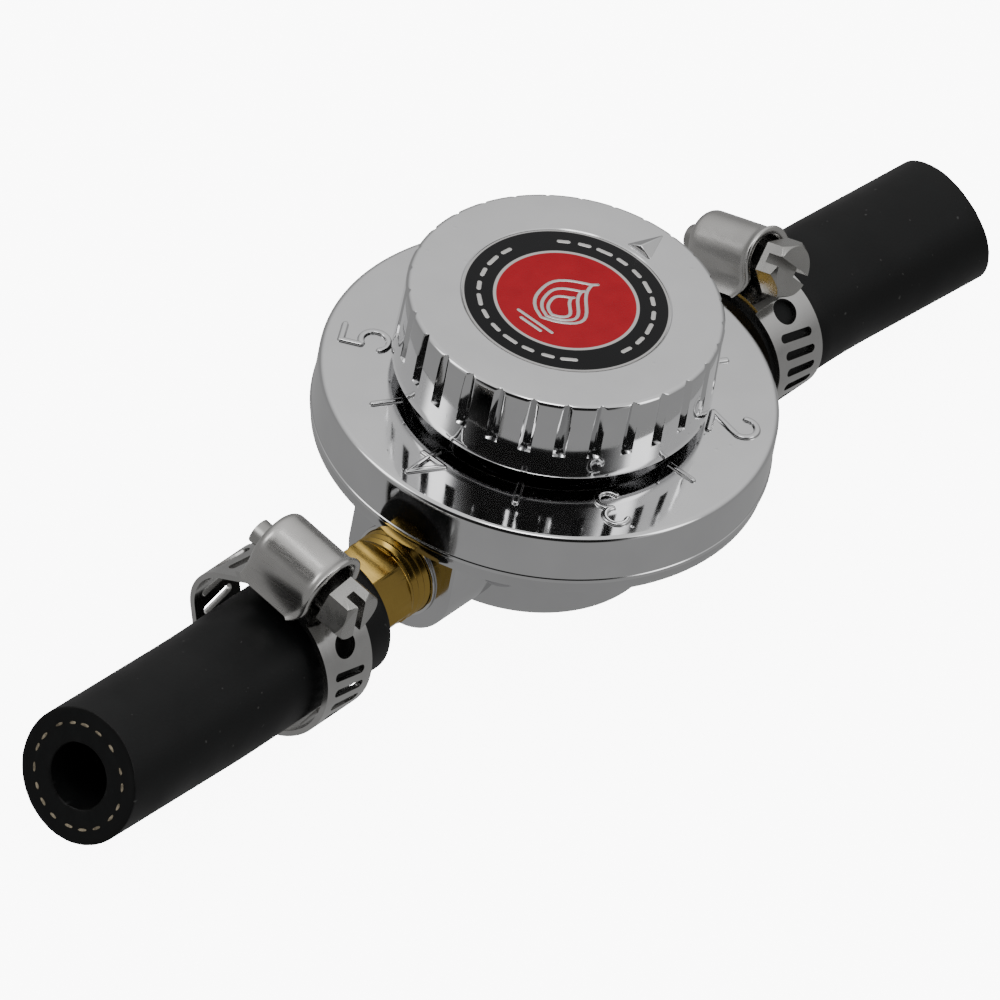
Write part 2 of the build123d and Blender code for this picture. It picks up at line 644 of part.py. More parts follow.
def worm_height(name):
    """Distance of the worm's axis from the loop's centre."""
    return CLAMPS[name]["inner_r"] + 2 * BAND_T + WORM_R + 0.15


def loop_outline(name, grow):
    """Outline of the loop, grown outward: a circle, drawn out round a smaller one where the band bulges."""
    clamp = CLAMPS[name]
    round_part = Circle(clamp["inner_r"] + grow)
    if clamp["bulge"] == (0.0, 0.0):
        return round_part
    bulge = Pos(*clamp["bulge"]) * Circle(clamp["bulge_r"] + grow)
    return make_hull(round_part.edges() + bulge.edges())


def loop_solid(name, grow, half_width):
    """Everything inside the grown loop, over a width that is central on the band."""
    return Pos(0, 0, -half_width) * extrude(loop_outline(name, grow), 2 * half_width)


def clamp_band(name):
    """Perforated band: one turn, a second layer under the worm, a round hole and slanted slots."""
    half = BAND_W / 2
    ring = loop_solid(name, BAND_T, half) - loop_solid(name, 0, half)
    layer = loop_solid(name, 2 * BAND_T, half) - loop_solid(name, BAND_T - 0.1, half)
    tongue = CLAMPS[name]["tongue"]
    fan = [(0, 0), around(TONGUE_FROM, 20), around(-12, 20), around(12, 20), around(tongue, 20)]
    layer &= Pos(0, 0, -half) * extrude(make_face(Polyline(*fan, close=True)), BAND_W)
    band = ring + layer
    outward = Plane(origin=(0, 0, 0), x_dir=(0, 0, 1), z_dir=(1, 0, 0))
    band -= Rot(0, 0, 90 - HOLE_ANGLE) * (outward * disc(BAND_HOLE_R, 0, 15))
    pitch = degrees(SLOT_PITCH / (CLAMPS[name]["inner_r"] + BAND_T))
    angle = SLOTS_FROM
    tool = SlotOverall(SLOT_LENGTH, SLOT_WIDTH)
    cutter = outward * (Rot(0, 0, SLOT_SLANT) * extrude(tool, 15))
    while angle < SLOTS_TO:
        band -= Rot(0, 0, 90 - angle) * cutter
        angle += pitch
    return clamp_plane(name) * band


def clamp_housing(name):
    """Pressed saddle over the worm: an arch with flared skirts that end on the band."""
    inner = CLAMPS[name]["inner_r"]
    worm = worm_height(name)
    half = HOUSING_W / 2
    arch = CLAMPS[name]["arch_r"]
    centre = worm + ARCH_RISE
    foot = inner + BAND_T + 0.1
    # Half outline in the plane across the worm: height from the loop's centre, distance from the middle.
    # Each flank is a hollow arc that leaves the arch straight down and flares out to the skirt.
    drop = centre - foot - 0.3
    flare_r = ((half - arch) ** 2 + drop**2) / (2 * (half - arch))
    mid_angle = asin(drop / flare_r) / 2
    flare_mid = (centre - flare_r * sin(mid_angle), arch + flare_r * (1 - cos(mid_angle)))
    section = make_face([
        Line((foot, -half), (foot, half)),
        Line((foot, half), (centre - drop, half)),
        ThreePointArc((centre - drop, half), flare_mid, (centre, arch)),
        ThreePointArc((centre, arch), (centre + arch, 0), (centre, -arch)),
        ThreePointArc((centre, -arch), (flare_mid[0], -flare_mid[1]), (centre - drop, -half)),
        Line((centre - drop, -half), (foot, -half)),
    ])
    across = Plane(origin=(-HOUSING_L / 2, 0, 0), x_dir=(0, 1, 0), z_dir=(1, 0, 0))
    saddle = across * extrude(section, HOUSING_L)
    rims = saddle.edges().filter_by(GeomType.CIRCLE)
    saddle = fillet(rims, 0.5)
    along = Plane(origin=(0, worm, 0), z_dir=(1, 0, 0))
    saddle -= along * disc(WORM_R + RUN, -HOUSING_L / 2 + 0.8, HOUSING_L / 2 + 1)
    saddle -= along * disc(TAIL_R + RUN, -HOUSING_L / 2 - 1, 0)
    saddle -= along * disc(COLLAR_R + 0.1, HOUSING_L / 2 - 1.2, HOUSING_L / 2 + 1)
    saddle -= block((-HOUSING_L / 2 + 0.8, HOUSING_L / 2 - 1.2), (inner, worm), (-WORM_R * 0.8, WORM_R * 0.8))
    saddle = housing_place(name) * saddle
    saddle -= loop_solid(name, 2 * BAND_T + FIT, BAND_W / 2 + 0.05)
    saddle -= loop_solid(name, BAND_T + 0.1, HOUSING_W)
    return clamp_plane(name) * saddle


def clamp_screw(name):
    """Worm screw: core in the housing, tail journal, and a slotted hexagon head."""
    along = Plane(origin=(0, worm_height(name), 0), x_dir=(0, 1, 0), z_dir=(1, 0, 0))
    tail = -HOUSING_L / 2
    core = disc(WORM_R, tail + 0.85, HEAD_START + 0.1) + disc(TAIL_R, tail - TAIL_END, tail + 1)
    head_end = HEAD_START + CLAMPS[name]["head_l"]
    head = hexagon(HEAD_AF, HEAD_START, head_end)
    corner = HEAD_AF / sqrt(3)
    head &= turned(
        (0, HEAD_START), (corner, HEAD_START), (corner, head_end - 0.6),
        (HEAD_AF / 2 - 0.1, head_end), (0, head_end),
    )
    collar = disc(COLLAR_R, HOUSING_L / 2 - 1.1, HEAD_START + 0.1)
    slot = Pos(0, 0, head_end) * Box(1.2, 12, 4.0)
    screw = core + collar + head - slot
    turned_screw = Rot(0, 0, CLAMPS[name]["head_turn"]) * screw
    return clamp_plane(name) * (housing_place(name) * (along * turned_screw))


# ---- all pieces ---------------------------------------------------------------------------------

def pieces():
    """Every piece by its name."""
    made = {
        "lower_body": lower_body(),
        "bonnet": bonnet(),
        "cover_screws": cover_screws(),
        "stop_pin": stop_pin(),
        "knob": knob(),
        "knob_label": knob_label(),
        "knob_screw": knob_screw(),
        "adjusting_screw": adjusting_screw(),
        "spring_cap": spring_cap(),
        "adjusting_spring": adjusting_spring(),
        "diaphragm": diaphragm(),
        "diaphragm_plate": diaphragm_plate(),
        "diaphragm_washer": diaphragm_washer(),
        "diaphragm_stud": diaphragm_stud(),
        "lever": lever(),
        "lever_pin": lever_pin(),
        "valve_plunger": valve_plunger(),
        "seat_pad": seat_pad(),
        "inlet_nozzle": inlet_nozzle(),
        "inlet_filter": inlet_filter(),
    }
    for name, tail in TAILS.items():
        made[name + "_fitting"] = fitting(tail["side"])
        made[name + "_washer"] = seal_washer(tail["side"])
        made[name + "_hose"] = hose(name)
        made[name + "_clamp_band"] = clamp_band(name)
        made[name + "_clamp_housing"] = clamp_housing(name)
        made[name + "_clamp_screw"] = clamp_screw(name)
    return made


os.makedirs("parts", exist_ok=True)
for piece_name, solid in pieces().items():
    export_step(solid, "parts/" + piece_name + ".step")
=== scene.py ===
"""Looks of an adjustable in-line gas regulator with two clamped hose tails.

All lengths in this script are millimetres, in the frame of the CAD model, until mesh_piece() and the lights
and camera write them as metres. +Z is up along the knob's axis, and the gas line runs along X.
"""

from math import acos, atan2, cos, pi, radians, sin, sqrt, tan

import bmesh
import bpy
from mathutils import Matrix, Vector, noise


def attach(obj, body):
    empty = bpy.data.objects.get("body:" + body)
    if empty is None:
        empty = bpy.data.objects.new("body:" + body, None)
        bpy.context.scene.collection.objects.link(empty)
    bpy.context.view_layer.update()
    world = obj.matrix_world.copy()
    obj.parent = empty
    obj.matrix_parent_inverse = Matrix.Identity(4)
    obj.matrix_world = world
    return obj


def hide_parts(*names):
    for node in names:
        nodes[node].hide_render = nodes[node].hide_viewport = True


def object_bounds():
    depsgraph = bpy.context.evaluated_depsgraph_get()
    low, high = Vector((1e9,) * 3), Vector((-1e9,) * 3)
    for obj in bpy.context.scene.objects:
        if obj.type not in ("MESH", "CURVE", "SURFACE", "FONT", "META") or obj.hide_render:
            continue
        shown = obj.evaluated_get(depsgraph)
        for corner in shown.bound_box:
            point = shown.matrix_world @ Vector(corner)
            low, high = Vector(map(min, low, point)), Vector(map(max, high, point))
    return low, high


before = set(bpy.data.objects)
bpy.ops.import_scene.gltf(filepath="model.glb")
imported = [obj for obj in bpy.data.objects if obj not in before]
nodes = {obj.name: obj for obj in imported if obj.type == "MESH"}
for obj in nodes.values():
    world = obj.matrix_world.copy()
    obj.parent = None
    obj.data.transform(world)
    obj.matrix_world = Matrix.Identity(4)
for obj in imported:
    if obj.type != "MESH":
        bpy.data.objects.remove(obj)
cad_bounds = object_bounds()

MM = 0.001

# ---- dimensions shared with the CAD model --------------------------------------------------------

FLANGE_R = 27.5
FLANGE_TOP_Z = 22.1
JOINT_Z = 15.3
ROOF_Z = 19.4
NECK_R = 11.0
NECK_BORE_R = 9.0
NECK_TOP_Z = 30.4
DISH_R = 19.5
PORT_Z = 6.5

KNOB_R = 19.0
KNOB_SKIRT_R = 19.2
KNOB_BOTTOM_Z = 24.2
KNOB_TOP_Z = 35.2
KNOB_HOLLOW_R = 16.8
KNOB_CEILING_Z = 32.7
HUB_R = 7.2
HUB_BOTTOM_Z = 29.7
FLUTE_COUNT = 29
FLUTE_START = 184.0
FLUTE_LENGTH = 7.6
LABEL_R = 12.4
MARK_R = 22.3
MARK_WIDTH = 0.8
NUMERAL_HEIGHT = 6.4
NUMERAL_WIDTH = 4.0

HOSE_R = 8.2
HOSE_BORE_R = 4.0
HOSE_START_X = 35.0
TAILS = {
    "inlet": {
        "side": -1, "bend_x": 54.0, "bend": 3.6, "bend_l": 8.0, "end_l": 19.9, "towards": 0.0, "lean": 11.5,
    },
    "outlet": {
        "side": 1, "bend_x": 46.0, "bend": 5.8, "bend_l": 10.0, "end_l": 18.2, "towards": -80.0, "lean": 9.0,
    },
}
BAND_W = 8.0
BAND_T = 0.7
HOUSING_L = 10.0
HOUSING_W = 10.0
WORM_R = 1.9
CLAMPS = {
    "inlet": {
        "x": -44.6, "inner_r": 9.7, "offset": (0.4, 0.3), "roll": -5.0, "arch_r": 4.4,
        "tilt": -4.0, "aside": 0.9,
    },
    "outlet": {
        "x": 39.8, "inner_r": 8.0, "offset": (0.0, 0.0), "roll": 18.0, "arch_r": 3.7,
        "tilt": 0.0, "aside": 0.0,
    },
}


# ---- meshes --------------------------------------------------------------------------------------

def mesh_piece(name, verts, faces, material, body, sharp=35.0):
    """Object from points in millimetres. Edges that turn more than `sharp` degrees stay crisp."""
    mesh = bpy.data.meshes.new(name)
    mesh.from_pydata([tuple(c * MM for c in v) for v in verts], [], faces)
    bm = bmesh.new()
    bm.from_mesh(mesh)
    bmesh.ops.remove_doubles(bm, verts=bm.verts, dist=1e-7)
    bmesh.ops.recalc_face_normals(bm, faces=bm.faces)
    limit = radians(sharp)
    for face in bm.faces:
        face.smooth = True
    for edge in bm.edges:
        edge.smooth = len(edge.link_faces) != 2 or edge.calc_face_angle(0) < limit
    bm.to_mesh(mesh)
    bm.free()
    mesh.materials.append(material)
    obj = bpy.data.objects.new(name, mesh)
    bpy.context.scene.collection.objects.link(obj)
    if body:
        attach(obj, body)
    return obj


def rounded(corners, steps=5):
    """Outline through (x, y) or (x, y, radius) corners, with an arc at each corner that has a radius."""
    out = []
    count = len(corners)
    for index in range(count):
        corner = corners[index]
        here = Vector(corner[:2])
        radius = corner[2] if len(corner) > 2 else 0
        if not radius or index in (0, count - 1):
            out.append(tuple(here))
            continue
        before = Vector(corners[index - 1][:2]) - here
        after = Vector(corners[index + 1][:2]) - here
        before_l, after_l = before.length, after.length
        before.normalize()
        after.normalize()
        half = acos(max(-1.0, min(1.0, before.dot(after)))) / 2
        if half < 0.02 or half > pi / 2 - 0.01:
            out.append(tuple(here))
            continue
        reach = min(radius / tan(half), before_l * 0.49, after_l * 0.49)
        radius = reach * tan(half)
        centre = here + (before + after).normalized() * (radius / sin(half))
        start = here + before * reach - centre
        end = here + after * reach - centre
        sweep = atan2(start.x * end.y - start.y * end.x, start.dot(end))
        for step in range(steps + 1):
            turn = sweep * step / steps
            out.append((
                centre.x + start.x * cos(turn) - start.y * sin(turn),
                centre.y + start.x * sin(turn) + start.y * cos(turn),
            ))
    return out


def grid_faces(rows, columns, wrap=True, first=0):
    """Quads between rows of points, each row `columns` long."""
    faces = []
    last = columns if wrap else columns - 1
    for row in range(rows - 1):
        for column in range(last):
            a = first + row * columns + column
            b = first + row * columns + (column + 1) % columns
            faces.append((a, b, b + columns, a + columns))
    return faces


def lathe(name, outline, material, body, segments, sharp=35.0):
    """Turned piece from (radius, height) points, about the knob's axis."""
    verts = []
    for radius, height in outline:
        for index in range(segments):
            turn = 2 * pi * index / segments
            verts.append(Vector((radius * cos(turn), radius * sin(turn), height)))
    return mesh_piece(name, verts, grid_faces(len(outline), segments), material, body, sharp)


def port_frame(side):
    """Local Z out along the port, local X up."""
    z = Vector((side, 0, 0))
    x = Vector((0, 0, 1))
    y = z.cross(x)
    return Matrix.Translation((0, 0, PORT_Z)) @ Matrix((x, y, z)).transposed().to_4x4()


# ---- materials -----------------------------------------------------------------------------------

class Shader:
    """Small helper for building a material's node tree."""

    def __init__(self, name):
        self.material = bpy.data.materials.new(name)
        self.material.use_nodes = True
        self.tree = self.material.node_tree
        self.main = self.tree.nodes["Principled BSDF"]
        self.place = self.node("ShaderNodeTexCoord").outputs["Object"]

    def node(self, kind, **values):
        """New node; values set its properties, or its inputs by name."""
        node = self.tree.nodes.new(kind)
        for key, value in values.items():
            if key in node.inputs:
                node.inputs[key].default_value = value
            else:
                setattr(node, key, value)
        return node

    def link(self, source, target):
        self.tree.links.new(source, target)

    def set(self, **values):
        """Uniform values on the shader's own sockets, with _ for a space."""
        for key, value in values.items():
            socket = self.main.inputs[key.replace("_", " ")]
            socket.default_value = (*value, 1.0) if isinstance(value, tuple) and len(value) == 3 else value

    def scaled(self, x, y, z):
        """Object coordinates scaled per axis, which stretches a texture."""
        node = self.node("ShaderNodeMapping")
        node.inputs["Scale"].default_value = (x, y, z)
        self.link(self.place, node.inputs["Vector"])
        return node.outputs["Vector"]

    def noise(self, scale, detail=3.0, rough=0.5, vector=None):
        node = self.node("ShaderNodeTexNoise", Scale=scale, Detail=detail, Roughness=rough)
        self.link(vector or self.place, node.inputs["Vector"])
        return node.outputs["Fac"]

    def ramp(self, value, low, high, out_low=0.0, out_high=1.0):
        """Value mapped from low..high to out_low..out_high, clamped."""
        node = self.node("ShaderNodeMapRange")
        node.inputs["From Min"].default_value = low
        node.inputs["From Max"].default_value = high
        node.inputs["To Min"].default_value = out_low
        node.inputs["To Max"].default_value = out_high
        self.link(value, node.inputs["Value"])
        return node.outputs["Result"]

    def math(self, operation, a, b=None):
        node = self.node("ShaderNodeMath", operation=operation)
        for socket, value in zip(node.inputs, (a, b)):
            if value is None:
                continue
            if isinstance(value, (int, float)):
                socket.default_value = value
            else:
                self.link(value, socket)
        return node.outputs[0]

    def mix(self, factor, a, b):
        """Colour between a and b by factor."""
        node = self.node("ShaderNodeMix", data_type="RGBA")
        for socket, value in ((node.inputs[0], factor), (node.inputs[6], a), (node.inputs[7], b)):
            if isinstance(value, tuple):
                socket.default_value = (*value, 1.0)
            elif isinstance(value, (int, float)):
                socket.default_value = value
            else:
                self.link(value, socket)
        return node.outputs[2]

    def colour(self, value):
        self.link(value, self.main.inputs["Base Color"])

    def roughness(self, value):
        self.link(value, self.main.inputs["Roughness"])

    def bumps(self, *layers):
        """Height layers as (value, depth in millimetres)."""
        normal = None
        for value, depth in layers:
            node = self.node("ShaderNodeBump", Strength=1.0, Distance=depth * MM)
            self.link(value, node.inputs["Height"])
            if normal:
                self.link(normal, node.inputs["Normal"])
            normal = node.outputs["Normal"]
        self.link(normal, self.main.inputs["Normal"])


def plated(name, base=(0.66, 0.66, 0.665), low=0.05, high=0.12, wave=0.05, pits=0.03):
    """Bright plating over a die casting: gentle waves, a few pits and raised specks, uneven polish."""
    s = Shader(name)
    s.set(Metallic=1.0, IOR=2.2)
    tone = s.noise(180, 2.0)
    s.colour(s.mix(s.ramp(tone, 0.3, 0.7), tuple(c * 0.95 for c in base), base))
    s.roughness(s.ramp(s.noise(260, 4.0, 0.6), 0.3, 0.72, low, high))
    cells = s.node("ShaderNodeTexVoronoi", Scale=520.0, feature="F1")
    s.link(s.place, cells.inputs["Vector"])
    spots = s.ramp(cells.outputs["Distance"], 0.0, 0.16, 1.0, 0.0)
    sparse = s.ramp(s.noise(240, 1.0), 0.60, 0.68)
    s.bumps(
        (s.noise(110, 1.0), wave),
        (s.math("MULTIPLY", spots, sparse), pits),
    )
    return s.material


def plain_metal(name, base, low, high, stretch=None, depth=0.004, scale=900.0, metallic=1.0):
    """Satin or machined metal with fine lines along one direction, where `stretch` is per axis."""
    s = Shader(name)
    s.set(Metallic=metallic)
    where = s.scaled(*stretch) if stretch else None
    grain = s.noise(scale, 3.0, 0.65, where)
    tone = s.noise(240, 2.0)
    s.colour(s.mix(s.ramp(tone, 0.3, 0.7), tuple(c * 0.88 for c in base), base))
    s.roughness(s.ramp(grain, 0.3, 0.7, low, high))
    s.bumps((grain, depth), (s.noise(160, 1.0), depth * 3))
    return s.material


def rubber(name):
    """Black hose rubber: fine grain, faint lines along the hose, a little dust."""
    s = Shader(name)
    s.set(Specular_IOR_Level=0.22)
    grain = s.noise(3200, 2.0)
    drawn = s.noise(700, 2.0, 0.5, s.scaled(0.06, 1.0, 1.0))
    dust = s.ramp(s.noise(1300, 1.0), 0.765, 0.81)
    s.colour(s.mix(dust, (0.0026, 0.0027, 0.0029), (0.05, 0.05, 0.049)))
    s.roughness(s.ramp(s.noise(150, 3.0), 0.3, 0.7, 0.42, 0.56))
    s.bumps((drawn, 0.012), (grain, 0.006))
    return s.material


CHROME = plated("bright_plating")
KNOB_CHROME = plated("knob_plating", base=(0.67, 0.67, 0.675), low=0.045, high=0.10, wave=0.04, pits=0.02)
BODY_CHROME = plated("body_plating", base=(0.58, 0.58, 0.585), low=0.06, high=0.14, wave=0.05)
BRASS = plain_metal("turned_brass", (0.43, 0.29, 0.075), 0.12, 0.22, (5.0, 0.4, 0.4), 0.002)
BRASS_INNER = plain_metal("inner_brass", (0.62, 0.43, 0.17), 0.25, 0.40)
BAND_STEEL = plain_metal("band_steel", (0.50, 0.495, 0.485), 0.14, 0.24, (5.0, 0.3, 0.3), 0.0008)
HOUSING_STEEL = plain_metal("housing_steel", (0.52, 0.51, 0.495), 0.20, 0.30, (3.0, 0.25, 3.0), 0.0015)
SCREW_STEEL = plain_metal("screw_steel", (0.40, 0.395, 0.38), 0.22, 0.34, None, 0.002, 500.0)
PLAIN_STEEL = plain_metal("plain_steel", (0.45, 0.45, 0.46), 0.28, 0.42)
RUBBER = rubber("hose_rubber")

CAD_MATERIALS = {
    "lower_body": BODY_CHROME, "bonnet": CHROME, "cover_screws": PLAIN_STEEL, "stop_pin": PLAIN_STEEL,
    "knob": KNOB_CHROME, "knob_label": BODY_CHROME, "knob_screw": PLAIN_STEEL, "adjusting_screw": BRASS_INNER,
    "spring_cap": PLAIN_STEEL, "adjusting_spring": PLAIN_STEEL, "diaphragm": RUBBER,
    "diaphragm_plate": PLAIN_STEEL, "diaphragm_washer": PLAIN_STEEL, "diaphragm_stud": PLAIN_STEEL,
    "lever": PLAIN_STEEL, "lever_pin": PLAIN_STEEL, "valve_plunger": BRASS_INNER, "seat_pad": RUBBER,
    "inlet_nozzle": BRASS_INNER, "inlet_filter": BRASS_INNER,
}
for end in TAILS:
    CAD_MATERIALS[end + "_fitting"] = BRASS
    CAD_MATERIALS[end + "_washer"] = CHROME
    CAD_MATERIALS[end + "_hose"] = RUBBER
    CAD_MATERIALS[end + "_clamp_band"] = BAND_STEEL
    CAD_MATERIALS[end + "_clamp_housing"] = HOUSING_STEEL
    CAD_MATERIALS[end + "_clamp_screw"] = SCREW_STEEL
for node_name, material in CAD_MATERIALS.items():
    data = nodes[node_name].data
    data.materials.clear()
    data.materials.append(material)


# ---- dial bonnet ---------------------------------------------------------------------------------

LIP_REACH = 0.14
LIP_HEIGHT = 0.5
LIP_END = 0.62


def bonnet():
    """Dial flange and neck, turned, with small radii on its edges and a fine lip at the casing's joint."""
    lip_r = FLANGE_R + LIP_REACH
    outline = rounded([
        (DISH_R, JOINT_Z), (lip_r, JOINT_Z, 0.12), (lip_r, JOINT_Z + LIP_HEIGHT, 0.12),
        (FLANGE_R, JOINT_Z + LIP_END, 0.1), (FLANGE_R, FLANGE_TOP_Z, 0.75),
        (NECK_R + 0.5, FLANGE_TOP_Z, 0.6), (NECK_R, FLANGE_TOP_Z + 0.6, 0.4), (NECK_R, NECK_TOP_Z, 0.3),
        (NECK_BORE_R, NECK_TOP_Z, 0.3), (NECK_BORE_R, ROOF_Z, 0.3), (DISH_R, ROOF_Z, 0.6), (DISH_R, JOINT_Z),
    ], 6)
    shell = lathe("bonnet_shell", outline, CHROME, "casing", 256)
    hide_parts("bonnet")


BOW_STEPS = 18


def bow(centre, radius, start, sweep):
    """Points of a round stroke, `sweep` degrees on from the angle `start`."""
    out = []
    for index in range(BOW_STEPS + 1):
        angle = radians(start + sweep * index / BOW_STEPS)
        out.append((centre[0] + radius * cos(angle), centre[1] + radius * sin(angle)))
    return out


def numeral(digit):
    """Strokes of a dial numeral about its own centre, straight ones given by their two ends."""
    w = NUMERAL_WIDTH / 2 - MARK_WIDTH / 2
    h = NUMERAL_HEIGHT / 2 - MARK_WIDTH / 2
    if digit == 1:
        return [[(0, -h), (0, h)], [(0, h), (-w * 0.6, h * 0.6)]]
    if digit == 2:
        return [bow((0, h - w), w, -20, 200), [(w * 0.94, h - 1.34 * w), (-w, -h)], [(-w, -h), (w, -h)]]
    if digit == 3:
        r = h / 2
        return [bow((0, h - r), r, -90, 240), bow((0, r - h), r, -150, 240)]
    if digit == 4:
        return [
            [(w * 0.4, -h), (w * 0.4, h)], [(w * 0.4, h), (-w, -h * 0.4)], [(-w, -h * 0.4), (w, -h * 0.4)],
        ]
    r = h * 0.6
    return [
        [(w, h), (-w * 0.8, h)], [(-w * 0.8, h), (-w * 0.8, h * 0.15)], bow((-w * 0.1, r - h), r, -150, 270),
    ]


# a bead's half width and height, from its foot to the middle of its top
BEAD = [(0.50, -0.03), (0.43, 0.01), (0.38, 0.10), (0.34, 0.22), (0.27, 0.30), (0.18, 0.33), (0.0, 0.335)]
BEAD_END_STEPS = 8
TICK_FROM_R = 18.4
TICK_TO_R = 22.7


def bead(path, verts, faces, place, thin=1.0):
    """Raised stroke with a soft flat top and round ends, `thin` times as wide, added to verts and faces."""
    points = [Vector(p) for p in path]
    ways = []
    for index in range(len(points)):
        before = points[max(index - 1, 0)]
        after = points[min(index + 1, len(points) - 1)]
        ways.append((after - before).normalized())
    ring = []
    for point, way in zip(points, ways):
        ring.append((point, Vector((-way.y, way.x))))
    for turn in range(1, BEAD_END_STEPS):
        angle = pi * turn / BEAD_END_STEPS
        side = Vector((-ways[-1].y, ways[-1].x))
        ring.append((points[-1], side * cos(angle) + ways[-1] * sin(angle)))
    for point, way in zip(reversed(points), reversed(ways)):
        ring.append((point, Vector((way.y, -way.x))))
    for turn in range(1, BEAD_END_STEPS):
        angle = pi * turn / BEAD_END_STEPS
        side = Vector((ways[0].y, -ways[0].x))
        ring.append((points[0], side * cos(angle) - ways[0] * sin(angle)))
    first = len(verts)
    for reach, height in BEAD:
        for point, outward in ring:
            spot = point + outward * (reach * thin)
            verts.append(place @ Vector((spot.x, spot.y, height)))
    faces.extend(grid_faces(len(BEAD), len(ring), True, first))


def dial_marks():
    """Numerals 1 to 5, clockwise from +X and standing outward, with a tick between neighbours."""
    verts, faces = [], []
    lift = Matrix.Translation((0, 0, FLANGE_TOP_Z))
    for index in range(5):
        place = lift @ Matrix.Rotation(radians(-60 * index), 4, "Z") @ Matrix.Translation((MARK_R, 0, 0))
        place = place @ Matrix.Rotation(radians(-90), 4, "Z")
        for path in numeral(index + 1):
            bead(path, verts, faces, place)
    for index in range(4):
        place = lift @ Matrix.Rotation(radians(-30 - 60 * index), 4, "Z")
        tick = [(TICK_FROM_R + MARK_WIDTH / 2, 0), (TICK_TO_R - MARK_WIDTH / 2, 0)]
        bead(tick, verts, faces, place)
    marks = mesh_piece("dial_marks", verts, faces, CHROME, "casing", 60)


bonnet()
dial_marks()


# ---- knob ----------------------------------------------------------------------------------------

FLUTE_HALF = 0.74
FLUTE_DEPTH = 0.62
# how far outside KNOB_R a flute's edges lie, as the wall tapers
FLUTE_EDGE = 0.06
KNOB_EDGE = 0.7
KNOB_EDGE_STEPS = 14
KNOB_FOOT_INSET = 0.35
LABEL_CLEARANCE = 0.1
LABEL_RECESS = 0.3
POINTER_FROM_R = 13.2
POINTER_TO_R = 18.0
POINTER_HALF = 1.9
POINTER_RISE = 0.95


def knob():
    """Fluted hollow knob: the side is a grid whose rows and columns follow the flutes' edges."""
    end_z = KNOB_TOP_Z - FLUTE_LENGTH
    rows = [
        (KNOB_SKIRT_R - KNOB_FOOT_INSET, KNOB_BOTTOM_Z), (KNOB_SKIRT_R - 0.1, KNOB_BOTTOM_Z + 0.08),
        (KNOB_SKIRT_R, KNOB_BOTTOM_Z + 0.3),
    ]
    slope = (KNOB_SKIRT_R - KNOB_R) / (KNOB_TOP_Z - KNOB_BOTTOM_Z)
    for z in (25.4, 26.6, end_z - 0.12, end_z, end_z + 0.05, end_z + 0.3, 29.5, 31.5, 33.0):
        rows.append((KNOB_SKIRT_R - slope * (z - KNOB_BOTTOM_Z), z))
    for index in range(KNOB_EDGE_STEPS + 1):
        turn = pi / 2 * index / KNOB_EDGE_STEPS
        rows.append((
            KNOB_R - KNOB_EDGE + KNOB_EDGE * cos(turn), KNOB_TOP_Z - KNOB_EDGE + KNOB_EDGE * sin(turn),
        ))
    recess_r = LABEL_R + LABEL_CLEARANCE
    recess_z = KNOB_TOP_Z - LABEL_RECESS
    rows += [(15.0, KNOB_TOP_Z), (LABEL_R + 0.25, KNOB_TOP_Z), (recess_r, KNOB_TOP_Z - 0.1)]
    rows += [(recess_r, recess_z), (2.0, recess_z)]
    offsets = []
    pitch = 2 * pi * KNOB_R / FLUTE_COUNT
    between = pitch / 2 - FLUTE_HALF
    across_flute = (
        -1.15, -1.02, -0.99, -0.75, -0.5, -0.25, -0.06, 0.0, 0.06, 0.25, 0.5, 0.75, 0.99, 1.02, 1.15,
    )
    for part in across_flute:
        offsets.append(part * FLUTE_HALF)
    for part in (0.3, 0.55, 0.8):
        offsets.append(FLUTE_HALF + between * 2 * part)
    columns = len(offsets) * FLUTE_COUNT
    verts = []
    for radius, z in rows:
        for flute in range(FLUTE_COUNT):
            middle = radians(FLUTE_START) + 2 * pi * flute / FLUTE_COUNT
            for offset in offsets:
                here = radius
                in_flute = z >= end_z and abs(offset) < FLUTE_HALF
                if in_flute and radius > KNOB_R - KNOB_EDGE - 0.01:
                    depth = FLUTE_DEPTH * (1 - abs(offset) / FLUTE_HALF)
                    here = min(radius, KNOB_R + FLUTE_EDGE - depth)
                turn = middle + offset / KNOB_R
                verts.append((here * cos(turn), here * sin(turn), z))
    faces = grid_faces(len(rows), columns)
    skin = mesh_piece("knob_shell", verts, faces, KNOB_CHROME, "knob", 28)
    inner = rounded([
        (KNOB_SKIRT_R - KNOB_FOOT_INSET, KNOB_BOTTOM_Z), (KNOB_HOLLOW_R, KNOB_BOTTOM_Z, 0.3),
        (KNOB_HOLLOW_R, KNOB_CEILING_Z, 0.6), (HUB_R, KNOB_CEILING_Z, 0.5), (HUB_R, HUB_BOTTOM_Z, 0.3),
        (5.2, HUB_BOTTOM_Z),
    ])
    hollow = lathe("knob_hollow", inner, KNOB_CHROME, "knob", 128)
    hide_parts("knob")


def pointer():
    """Three-sided raised pointer on the knob's top."""
    foot = KNOB_TOP_Z - 0.02
    verts = [
        (POINTER_FROM_R, -POINTER_HALF, foot), (POINTER_FROM_R, POINTER_HALF, foot), (POINTER_TO_R, 0, foot),
        (POINTER_FROM_R + 0.2, 0, KNOB_TOP_Z + POINTER_RISE),
    ]
    faces = [(0, 2, 3), (2, 1, 3), (1, 0, 3), (0, 1, 2)]
    piece = mesh_piece("knob_pointer", verts, faces, KNOB_CHROME, "knob", 20)
    bevel = piece.modifiers.new("soft_edges", "BEVEL")
    bevel.width = 0.12 * MM
    bevel.segments = 2


knob()
pointer()


# ---- label ---------------------------------------------------------------------------------------

LABEL_Z = KNOB_TOP_Z - 0.05
